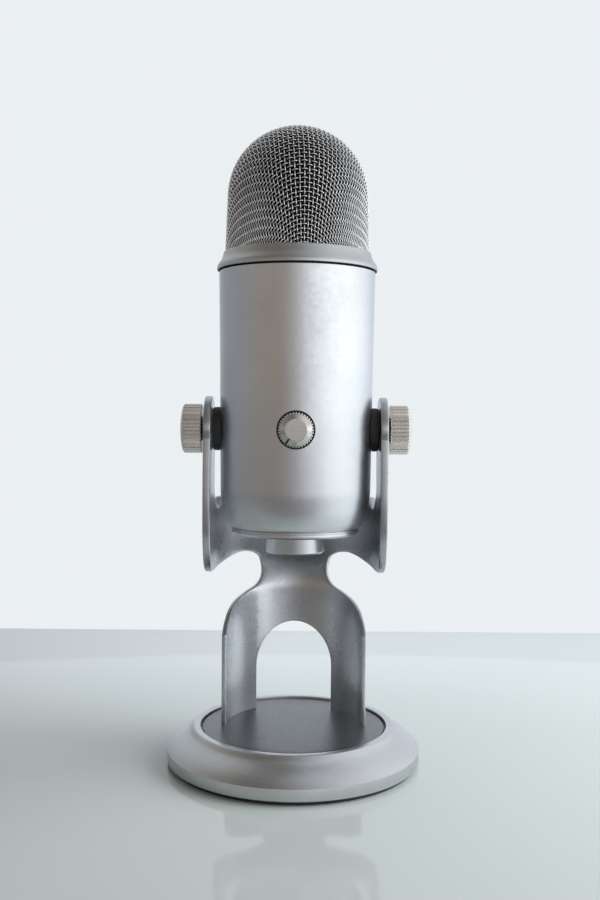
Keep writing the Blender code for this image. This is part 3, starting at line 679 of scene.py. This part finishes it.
def make_body():
    waist, bottom = (BODY_R, 138), (BOTTOM_R, 117.9)
    outer = divided([(38.25, BODY_TOP - 0.6), (37.7, 204), (37.2, 155), waist], 5.0)
    curve = spline([waist, (36.95, 134), (36.5, 130), (35.6, 125.1), (34.1, 120.1), bottom], 6)
    rim = fillet([bottom, (32.5, BODY_LOW + 0.25, 0.3), (31.2, BODY_LOW + 0.25)], 3)
    top = fillet([(36.4, BODY_TOP - 0.25), (38.25, BODY_TOP - 0.25, 0.35), (38.25, BODY_TOP - 0.9)], 4)
    inner = [(31.0, 119.5), (33.8, 127), (35.2, 136), (35.4, 155), (35.9, 204), (36.3, 240)]
    profile = top[:-1] + outer + curve[1:-1] + rim + inner
    name = "body_shell"
    shell = turned_piece(f"{name}_fine", profile, BODY, "microphone", [name], 320, True)
    for name, side in KNOB_SIDES.items():
        drill(shell, HOLE_R, (0, side, 0), KNOB_Z[name], 30, 45)
    shell.data.set_sharp_from_angle(angle=math.radians(32))
    # Painted shade: the shell's top inside the gap under the collar gets the black material.
    darken(shell, RUBBER_AND_PAINTED_SHADE, lambda radius, z: radius < 37.4 and z > 241.4)


def make_collar():
    high = COLLAR_TOP
    hollow = [(36.35, high - 0.9), (36.65, 248.8), (37.25, 247.3), (38.1, 246.0)]
    swell = [(38.8, 245.05), (39.2, 244.0), (COLLAR_R, 242.95)]
    flare = spline(hollow + swell, 6)
    shoulder = fillet([(33.9, high), (36.15, high, 0.6), (36.35, high - 0.9)], 4)
    lip = fillet([(COLLAR_R, 242.95), (COLLAR_R, 242.35, 0.35), (36.1, 242.35)], 5)
    profile = shoulder[:-1] + flare[:-1] + lip + [(36.1, 236.0), (33.9, 236.0)]
    verts, faces = turned(profile, 256, closed=True)
    name = "grille_collar"
    collar = mesh_piece(f"{name}_fine", verts, faces, COLLAR, "microphone", [name], 40.0)
    # Painted shade: the collar's lip underside and spigot, in the gap above the body, get the black material.
    darken(collar, RUBBER_AND_PAINTED_SHADE, lambda radius, z: radius < 37.6 and z < 242.6)


def make_end_cap():
    low = CAP_LOW
    profile = fillet(
        [
            (BOSS_R + 0.3, 122.0),
            (30.2, 122.0),
            (30.2, CAP_SHOULDER),
            (CAP_R, CAP_SHOULDER, 0.15),
            (CAP_R, 116.45, 0.1),
            (CAP_R - 0.35, 116.35),
            (CAP_R - 0.35, 116.05),
            (CAP_R, 115.95, 0.1),
            (CAP_R, low + 0.9, 0.4),
            (CAP_R - 0.9, low, 0.4),
            (BOSS_R + 0.3, low),
        ],
        3,
        closed=True,
    )
    cap = turned_piece("end_cap_fine", profile, BODY, "microphone", ["end_cap"], 256, True)
    pieces = [box_cutter((9.6, 6.6, 30.0), (0.0, 22.5, 118.0)), post_cutter(4.3, (0.0, -22.5))]
    pieces += [post_cutter(3.1, (side * 24.5, 0.0)) for side in (-1, 1)]
    for cutter in pieces:
        cut_with(cap, cutter)
    cap.data.set_sharp_from_angle(angle=math.radians(32))


def box_cutter(size, centre):
    mesh = bpy.data.meshes.new("cutter")
    verts = [
        tuple((c + s * d / 2) * M for c, s, d in zip(centre, size, (x, y, z)))
        for x in (-1, 1)
        for y in (-1, 1)
        for z in (-1, 1)
    ]
    faces = [(0, 1, 3, 2), (4, 6, 7, 5), (0, 4, 5, 1), (2, 3, 7, 6), (0, 2, 6, 4), (1, 5, 7, 3)]
    mesh.from_pydata(verts, [], faces)
    obj = bpy.data.objects.new("cutter", mesh)
    bpy.context.scene.collection.objects.link(obj)
    return obj


def post_cutter(radius, place):
    verts, faces = turned([(0, 130), (radius, 130), (radius, 105), (0, 105)], 48)
    mesh = bpy.data.meshes.new("cutter")
    mesh.from_pydata([((x + place[0]) * M, (y + place[1]) * M, z * M) for x, y, z in verts], [], faces)
    obj = bpy.data.objects.new("cutter", mesh)
    bpy.context.scene.collection.objects.link(obj)
    return obj


def make_boss():
    low = BOSS_LOW
    flange = [(0.0, 125.0), (17.5, 125.0, 0.3), (17.5, 122.3), (BOSS_R, 122.3)]
    outside = [(BOSS_R, low + 0.9, 0.5), (BOSS_R - 0.9, low, 0.4)]
    mouth = [(THREAD_R + 0.7, low, 0.2), (THREAD_R, low + 0.9)]
    profile = fillet(flange + outside + mouth, 4)
    height = low + 1.4
    while height < 119.0:
        profile += [(THREAD_R, height), (THREAD_R - 0.5, height + THREAD_PITCH / 2)]
        height += THREAD_PITCH
    profile += [(THREAD_R, 120.0), (0.0, 120.0)]
    turned_piece("mount_boss_fine", profile, BODY, "microphone", ["mount_boss"], 160)


# ------------------------------------------------------------------ knobs


def make_knob(name, side):
    """A ribbed knob with a bevel, a flat face and an engraved pointer."""
    face = KNOB_FACE
    crown = fillet(
        [
            (0.0, face),
            (5.15, face, 0.25),
            (5.35, face - 0.12, 0.2),
            (7.25, face - 1.75, 0.3),
            (7.45, face - 2.0, 0.2),
            (KNOB_R - 0.25, face - 2.05, 0.2),
            (KNOB_R, face - 2.4, 0.2),
            (KNOB_R, 36.2),
            (SHAFT_R + 0.3, 36.2),
        ],
        4,
    )
    crown = divided(crown, 0.55)
    teeth = ribs(36, 0.7, 36.0, face - 1.9, 7.5)
    pointer = math.radians(-127.0)
    verts, faces = turned(crown, 288, shift=teeth)
    placed, engraved = [], []
    for x, y, z in verts:
        radius = math.hypot(x, y)
        off = abs(math.remainder(math.atan2(y, x) - pointer, math.tau)) * radius
        engraved.append(off < 0.45 and 4.9 < radius < 7.9 and z > face - 2.3)
        depth = 0.45 if engraved[-1] else 0.0
        placed.append((-side * x, side * (z - depth), KNOB_Z[name] + y))
    node = f"{name}_knob"
    knob = mesh_piece(f"{node}_fine", placed, faces, KNOB, f"{name}_control", [node], 40.0)
    # Painted shade: the engraved pointer's faces get the black material, standing for the shade in the notch.
    knob.data.materials.append(RUBBER_AND_PAINTED_SHADE)
    for polygon in knob.data.polygons:
        polygon.material_index = int(all(engraved[v] for v in polygon.vertices))


# ------------------------------------------------------------------ woven grille


def grille_radius(z):
    """Radius of the wires' middle surface below the dome's centre."""
    foot = GRILLE_R - 2 * WIRE_R
    return CLOTH_R + (foot - CLOTH_R) * (DOME_CENTRE - z) / (DOME_CENTRE - COLLAR_TOP)


def off_surface(point):
    """How far a point is off the wires' middle surface, and the way out from it."""
    x, y, z = point
    if z >= DOME_CENTRE:
        out = np.array([x, y, z - DOME_CENTRE])
        length = np.linalg.norm(out)
        return length - CLOTH_R, out / length
    length = math.hypot(x, y)
    slope = grille_radius(0.0) - grille_radius(1.0)
    normal = np.array([x / length, y / length, slope])
    return length - grille_radius(z), normal / np.linalg.norm(normal)


def meridian_point(length):
    """The point this far from the pole along the surface, as (radius, height)."""
    quarter = CLOTH_R * math.pi / 2
    if length <= quarter:
        angle = length / CLOTH_R
        return CLOTH_R * math.sin(angle), DOME_CENTRE + CLOTH_R * math.cos(angle)
    z = DOME_CENTRE - (length - quarter)
    return grille_radius(z), z


def drape():
    """Crossing points of a woven square pulled over a quarter of the dome, its wires through the pole
    lying on the X and Y planes. Every cell keeps its sides, as a real cloth of wire does, and lower
    down the cells slip round towards an even spread."""
    net = {}
    count = 46
    lowest = COLLAR_TOP - 4.0
    for i in range(count):
        for j in (0,) if i else range(count):
            radius, z = meridian_point(math.hypot(i * PITCH_X, j * PITCH_Y))
            if z > lowest:
                net[i, j] = np.array([0.0 if j else radius, radius if j else 0.0, z])
    for i in range(1, count):
        for j in range(1, count):
            if (i - 1, j) not in net or (i, j - 1) not in net:
                break
            a, b, c = net[i - 1, j], net[i, j - 1], net[i - 1, j - 1]
            point = a + b - c
            for _ in range(14):
                miss, out = off_surface(point)
                to_a, to_b = point - a, point - b
                errors = np.array([to_a @ to_a - PITCH_X**2, to_b @ to_b - PITCH_Y**2, miss])
                try:
                    step = np.linalg.solve(np.array([2 * to_a, 2 * to_b, out]), errors)
                except np.linalg.LinAlgError:
                    break
                point = point - np.clip(step, -0.6, 0.6)
            if np.linalg.norm(point - c) < 0.3 or np.abs(errors).max() > 0.05 or point[2] < lowest:
                break
            net[i, j] = point
    spread_out = {}
    for (i, j), point in net.items():
        compass = math.atan2(point[1], point[0])
        even = math.atan2(j * PITCH_Y, i * PITCH_X) if i or j else 0.0
        slip = blend(0.0, NET_SLIP, -298, -COLLAR_TOP, -point[2])
        compass += (even - compass) * slip
        radius = math.hypot(point[0], point[1])
        spread_out[i, j] = np.array([radius * math.cos(compass), radius * math.sin(compass), point[2]])
    return spread_out


def wire_tube(points, normals, sides):
    """A round wire through the points, with its ends closed."""
    points, normals = np.array(points), np.array(normals)
    along = np.gradient(points, axis=0)
    along /= np.linalg.norm(along, axis=1)[:, None]
    across = np.cross(along, normals)
    across /= np.linalg.norm(across, axis=1)[:, None]
    up = np.cross(across, along)
    angles = np.arange(sides) * math.tau / sides
    rings = points[:, None] + WIRE_R * (
        np.cos(angles)[None, :, None] * across[:, None] + np.sin(angles)[None, :, None] * up[:, None]
    )
    count = len(points)
    faces = []
    for k in range(count - 1):
        for i in range(sides):
            j = (i + 1) % sides
            faces.append([k * sides + i, k * sides + j, (k + 1) * sides + j, (k + 1) * sides + i])
    faces.append(list(range(sides))[::-1])
    faces.append([(count - 1) * sides + i for i in range(sides)])
    return rings.reshape(-1, 3), faces


def weave(net, along_x):
    """All the wires that run one way, over one crossing and under the next."""
    verts, faces = [], []
    reach = max(max(place) for place in net)
    for lane in range(-reach, reach + 1):
        points, normals = [], []
        for step in range(-reach, reach + 1):
            i, j = (abs(step), abs(lane)) if along_x else (abs(lane), abs(step))
            if (i, j) not in net:
                continue
            x, y, z = net[i, j]
            first = step if along_x else lane
            second = lane if along_x else step
            x = math.copysign(x, first) if first else 0.0
            y = math.copysign(y, second) if second else 0.0
            point = np.array([x, y, z])
            normal = off_surface(point)[1]
            over = (lane + step) % 2 == 0
            lift = WIRE_R * 0.97 if over == along_x else -WIRE_R * 0.97
            points.append(point + normal * lift)
            normals.append(normal)
        if len(points) < 3:
            continue
        smooth = np.array(spline(points, 4))
        facing = np.array(spline(normals, 4))
        shown = smooth[:, 2] > COLLAR_TOP - 0.9
        smooth, facing = smooth[shown], facing[shown]
        if len(smooth) < 4:
            continue
        more, quads = wire_tube(smooth @ NET_TURN, facing @ NET_TURN, 7)
        start = sum(len(part) for part in verts)
        verts.append(more)
        faces += [[start + v for v in quad] for quad in quads]
    return np.concatenate(verts), faces


def shade_valleys(wires):
    """Paints shade on the wires' inner sides, and on the wires where they pass under, as a darker copy of the
    wire metal.
    """
    wires.data.materials.append(WIRE_SHADE)
    centres = np.empty(len(wires.data.polygons) * 3, np.float32)
    wires.data.polygons.foreach_get("center", centres)
    centres = centres.reshape(-1, 3) / M
    from_axis = np.hypot(centres[:, 0], centres[:, 1])
    height = centres[:, 2]
    off_dome = np.hypot(from_axis, height - DOME_CENTRE) - CLOTH_R
    proud = np.where(height > DOME_CENTRE, off_dome, from_axis - grille_radius(height))
    shaded = (proud < 0.55 * WIRE_R).astype(np.int32)
    wires.data.polygons.foreach_set("material_index", shaded)


def make_grille():
    net = drape()
    for word, along_x in (("warp", True), ("weft", False)):
        verts, faces = weave(net, along_x)
        replaces = ["grille"] if along_x else []
        wires = mesh_piece(f"grille_{word}", verts, faces, WIRE, "microphone", replaces, 60.0)
        shade_valleys(wires)
    outside = arc((0.0, DOME_CENTRE), DOME_R - 1.9, 90, 0, 30)
    inside_arc = arc((0.0, DOME_CENTRE), DOME_R - 2.8, 0, 90, 24)
    outside[0] = (0.0, outside[0][1])
    inside_arc[-1] = (0.0, inside_arc[-1][1])
    profile = outside + [(33.4, 250.0), (33.4, 239.6), (32.6, 239.6)] + inside_arc
    turned_piece("grille_liner_fine", profile, FOAM, "microphone", ["grille_liner"], 128)


# ------------------------------------------------------------------ CAD pieces that keep their shape


def finish_cad_nodes():
    screws = [f"leg_screw_{i}" for i in (1, 2, 3, 4)] + ["cap_screw_1", "cap_screw_2"]
    inserts = ["pivot_insert_left", "pivot_insert_right"]
    controls = ["volume_pot", "gain_pot", "pattern_switch"]
    looks = {
        STEEL: screws + [f"{name}_shaft" for name in KNOB_SIDES] + ["usb_socket"],
        BRASS: [f"capsule_{i}" for i in (1, 2, 3)] + inserts,
        PLASTIC: [f"{name}_seat" for name in KNOB_SIDES] + controls,
        BOARD: ["main_board", "control_board"],
        RUBBER_AND_PAINTED_SHADE: ["shock_mount"],
    }
    looks[PLASTIC] += ["chassis", "capsule_bracket", "headphone_jack"]
    for material, nodes in looks.items():
        for name in nodes:
            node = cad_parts[name]
            node.data.materials.clear()
            node.data.materials.append(material)


# ------------------------------------------------------------------ camera, floor and light

CAMERA_PLACE = Vector((0.0, -0.50344, 0.17611))
CAMERA_PITCH = 2.429
CAMERA_YAW = 0.239
CAMERA_ROLL = 0.534
CAMERA_LENS = 40.73

# Light from the sides, by compass direction: 0 is from the camera's side, 90 is from the right.
SURROUND = [
    (-180, (0.98, 1.05, 1.12)),
    (-166, (0.80, 0.86, 0.92)),
    (-150, (0.46, 0.49, 0.52)),
    (-130, (0.33, 0.34, 0.36)),
    (-100, (0.335, 0.345, 0.37)),
    (-66, (0.42, 0.40, 0.38)),
    (-38, (0.49, 0.40, 0.31)),
    (-16, (0.46, 0.39, 0.34)),
    (0, (0.72, 0.70, 0.69)),
    (20, (1.52, 1.54, 1.56)),
    (52, (1.86, 1.88, 1.84)),
    (82, (1.80, 1.80, 1.70)),
    (112, (1.32, 1.38, 1.44)),
    (146, (0.74, 0.80, 0.86)),
    (180, (0.98, 1.05, 1.12)),
]
# The same below the level of the table top, where nothing but the room's floor is.
BELOW = [
    (-180, (0.60, 0.66, 0.72)),
    (-150, (0.28, 0.31, 0.34)),
    (-60, (0.18, 0.17, 0.165)),
    (0, (0.17, 0.16, 0.16)),
    (28, (0.34, 0.34, 0.35)),
    (58, (0.95, 1.00, 1.05)),
    (115, (1.05, 1.12, 1.20)),
    (150, (0.85, 0.93, 1.00)),
    (180, (0.60, 0.66, 0.72)),
]
# And well above it.
UPPER = [
    (-180, (0.74, 0.79, 0.83)),
    (-140, (0.60, 0.63, 0.65)),
    (-100, (0.36, 0.34, 0.31)),
    (-60, (0.17, 0.15, 0.13)),
    (-20, (0.17, 0.155, 0.145)),
    (5, (0.27, 0.265, 0.265)),
    (35, (0.55, 0.57, 0.59)),
    (65, (0.86, 0.90, 0.93)),
    (110, (0.95, 0.98, 1.00)),
    (150, (0.80, 0.84, 0.88)),
    (180, (0.74, 0.79, 0.83)),
]
# And overhead.
CEILING = [
    (-180, (0.36, 0.355, 0.35)),
    (-90, (0.17, 0.155, 0.14)),
    (-30, (0.25, 0.23, 0.21)),
    (0, (0.37, 0.35, 0.34)),
    (40, (0.54, 0.55, 0.57)),
    (110, (0.62, 0.64, 0.66)),
    (180, (0.36, 0.355, 0.35)),
]


def make_camera():
    data = bpy.data.cameras.new("camera")
    data.lens = CAMERA_LENS
    data.sensor_width = 36.0
    data.clip_start = 0.01
    data.clip_end = 20.0
    camera = bpy.data.objects.new("camera", data)
    turn = Matrix.Rotation(math.radians(-CAMERA_YAW), 4, "Z")
    turn = turn @ Matrix.Rotation(math.radians(90 - CAMERA_PITCH), 4, "X")
    turn = turn @ Matrix.Rotation(math.radians(CAMERA_ROLL), 4, "Z")
    camera.matrix_world = Matrix.Translation(CAMERA_PLACE) @ turn
    bpy.context.scene.collection.objects.link(camera)
    bpy.context.scene.camera = camera


def make_floor():
    """A plain pale table top with rounded corners, just under the pad."""
    material, tree, shader = node_material("pale_floor", (0.50, 0.54, 0.53), 0.07, 0.0)
    shader.inputs["Specular IOR Level"].default_value = 0.9
    soft = noise(tree, 3.0, 2.0)
    tones = two_tone(tree, soft, (0.43, 0.475, 0.465), (0.46, 0.50, 0.49))
    tree.links.new(tones, shader.inputs["Base Color"])
    back, front, half = 294.0, -205.0, 450.0
    corner = 90.0
    outline = [(-half, front, corner), (half, front, corner), (half, back, corner), (-half, back, corner)]
    outline = fillet(outline, 16, closed=True)
    rings = [(0.0, 3.0), (-0.9, 0.9), (-3.0, 0.0), (-9.0, 0.0), (-12.0, 3.0)]
    verts = []
    for drop, draw_in in rings:
        ring = inset(outline, draw_in)
        verts += [(x, y, drop) for x, y in ring]
    count = len(outline)
    faces = [list(range(count)), [len(verts) - 1 - i for i in range(count)]]
    for k in range(len(rings) - 1):
        for i in range(count):
            j = (i + 1) % count
            faces.append([k * count + i, (k + 1) * count + i, (k + 1) * count + j, k * count + j])
    mesh = bpy.data.meshes.new("floor")
    mesh.from_pydata([(x * M, y * M, (z - 0.02) * M) for x, y, z in verts], [], faces)
    mesh.shade_smooth()
    mesh.set_sharp_from_angle(angle=math.radians(30))
    mesh.materials.append(material)
    floor = bpy.data.objects.new("floor", mesh)
    bpy.context.scene.collection.objects.link(floor)


def area_light(name, place, target, size, watts, colour):
    data = bpy.data.lights.new(name, "AREA")
    data.shape = "RECTANGLE"
    data.size, data.size_y = size
    data.energy = watts
    data.color = colour
    light = bpy.data.objects.new(name, data)
    light.location = place
    light.rotation_euler = (Vector(target) - Vector(place)).to_track_quat("-Z", "Y").to_euler()
    bpy.context.scene.collection.objects.link(light)
    return light


def make_world():
    """A pale backdrop, and a light by compass direction: bright on the right, dim on the left."""
    world = bpy.data.worlds.new("studio")
    world.use_nodes = True
    bpy.context.scene.world = world
    tree = world.node_tree
    tree.nodes.clear()
    place = tree.nodes.new("ShaderNodeTexCoord")
    split = tree.nodes.new("ShaderNodeSeparateXYZ")
    tree.links.new(place.outputs["Generated"], split.inputs["Vector"])
    forward = tree.nodes.new("ShaderNodeMath")
    forward.operation = "MULTIPLY"
    forward.inputs[1].default_value = -1.0
    tree.links.new(split.outputs["Y"], forward.inputs[0])
    compass = tree.nodes.new("ShaderNodeMath")
    compass.operation = "ARCTAN2"
    tree.links.new(split.outputs["X"], compass.inputs[0])
    tree.links.new(forward.outputs["Value"], compass.inputs[1])
    turn = tree.nodes.new("ShaderNodeMapRange")
    turn.inputs["From Min"].default_value = -math.pi
    turn.inputs["From Max"].default_value = math.pi
    tree.links.new(compass.outputs["Value"], turn.inputs["Value"])

    def ramp(stops):
        node = tree.nodes.new("ShaderNodeValToRGB")
        tree.links.new(turn.outputs["Result"], node.inputs["Fac"])
        while len(node.color_ramp.elements) < len(stops):
            node.color_ramp.elements.new(0.5)
        for element, (degrees, colour) in zip(node.color_ramp.elements, stops):
            element.position = (degrees + 180) / 360
            element.color = (*colour, 1.0)
        return node.outputs["Color"]

    def mixed(low, high, first, second):
        """The first colour below one height of the direction, and the second above another."""
        rise = tree.nodes.new("ShaderNodeMapRange")
        rise.interpolation_type = "SMOOTHSTEP"
        rise.inputs["From Min"].default_value = low
        rise.inputs["From Max"].default_value = high
        tree.links.new(split.outputs["Z"], rise.inputs["Value"])
        mix = tree.nodes.new("ShaderNodeMix")
        mix.data_type = "RGBA"
        tree.links.new(rise.outputs["Result"], mix.inputs["Factor"])
        tree.links.new(first, mix.inputs["A"])
        tree.links.new(second, mix.inputs["B"])
        return mix.outputs["Result"]

    level = mixed(-0.15, 0.03, ramp(BELOW), ramp(SURROUND))
    raised = mixed(0.08, 0.42, level, ramp(UPPER))
    light = mixed(0.80, 1.0, raised, ramp(CEILING))
    surround = tree.nodes.new("ShaderNodeBackground")
    tree.links.new(light, surround.inputs["Color"])
    backdrop = tree.nodes.new("ShaderNodeBackground")
    backdrop.inputs["Color"].default_value = (0.83, 0.866, 0.89, 1.0)
    path = tree.nodes.new("ShaderNodeLightPath")
    choose = tree.nodes.new("ShaderNodeMixShader")
    output = tree.nodes.new("ShaderNodeOutputWorld")
    tree.links.new(path.outputs["Is Camera Ray"], choose.inputs["Fac"])
    tree.links.new(surround.outputs["Background"], choose.inputs[1])
    tree.links.new(backdrop.outputs["Background"], choose.inputs[2])
    tree.links.new(choose.outputs["Shader"], output.inputs["Surface"])
    bpy.context.scene.view_settings.view_transform = "Standard"


def make_lights(yoke):
    """A window and a soft side light that the metals don't mirror, and a low light on the yoke alone.
    Only the collar may shade that one, so it reaches the yoke from below the table's top."""
    middle = (0.0, 0.0, 0.17)
    window = area_light("window", (1.1, -0.35, 0.45), middle, (0.9, 1.1), 8.0, (0.95, 0.98, 1.0))
    side = area_light("side", (0.8, 0.05, 0.55), (0.0, 0.05, 0.0), (0.7, 0.7), 9.0, (0.97, 1.0, 1.0))
    low = area_light("low", (0.56, -0.02, -0.15), (0.0, 0.0, 0.04), (0.5, 0.22), 3.2, (0.90, 0.95, 1.0))
    reached = bpy.data.collections.new("reached_by_low_light")
    reached.objects.link(yoke)
    low.light_linking.receiver_collection = reached
    in_the_way = bpy.data.collections.new("shades_the_low_light")
    in_the_way.objects.link(bpy.data.objects["grille_collar_fine"])
    low.light_linking.blocker_collection = in_the_way
    window.visible_glossy = False
    side.visible_glossy = False
    low.visible_diffuse = False
    low.visible_camera = False


make_base()
YOKE_PIECE = make_yoke()
for WORD, SIDE in (("left", -1), ("right", 1)):
    make_thumbscrew(WORD, SIDE)
    make_friction_washer(WORD, SIDE)
make_body()
make_collar()
make_end_cap()
make_boss()
for NAME, SIDE in KNOB_SIDES.items():
    make_knob(NAME, SIDE)
make_grille()
finish_cad_nodes()
make_camera()
make_floor()
make_world()
make_lights(YOKE_PIECE)
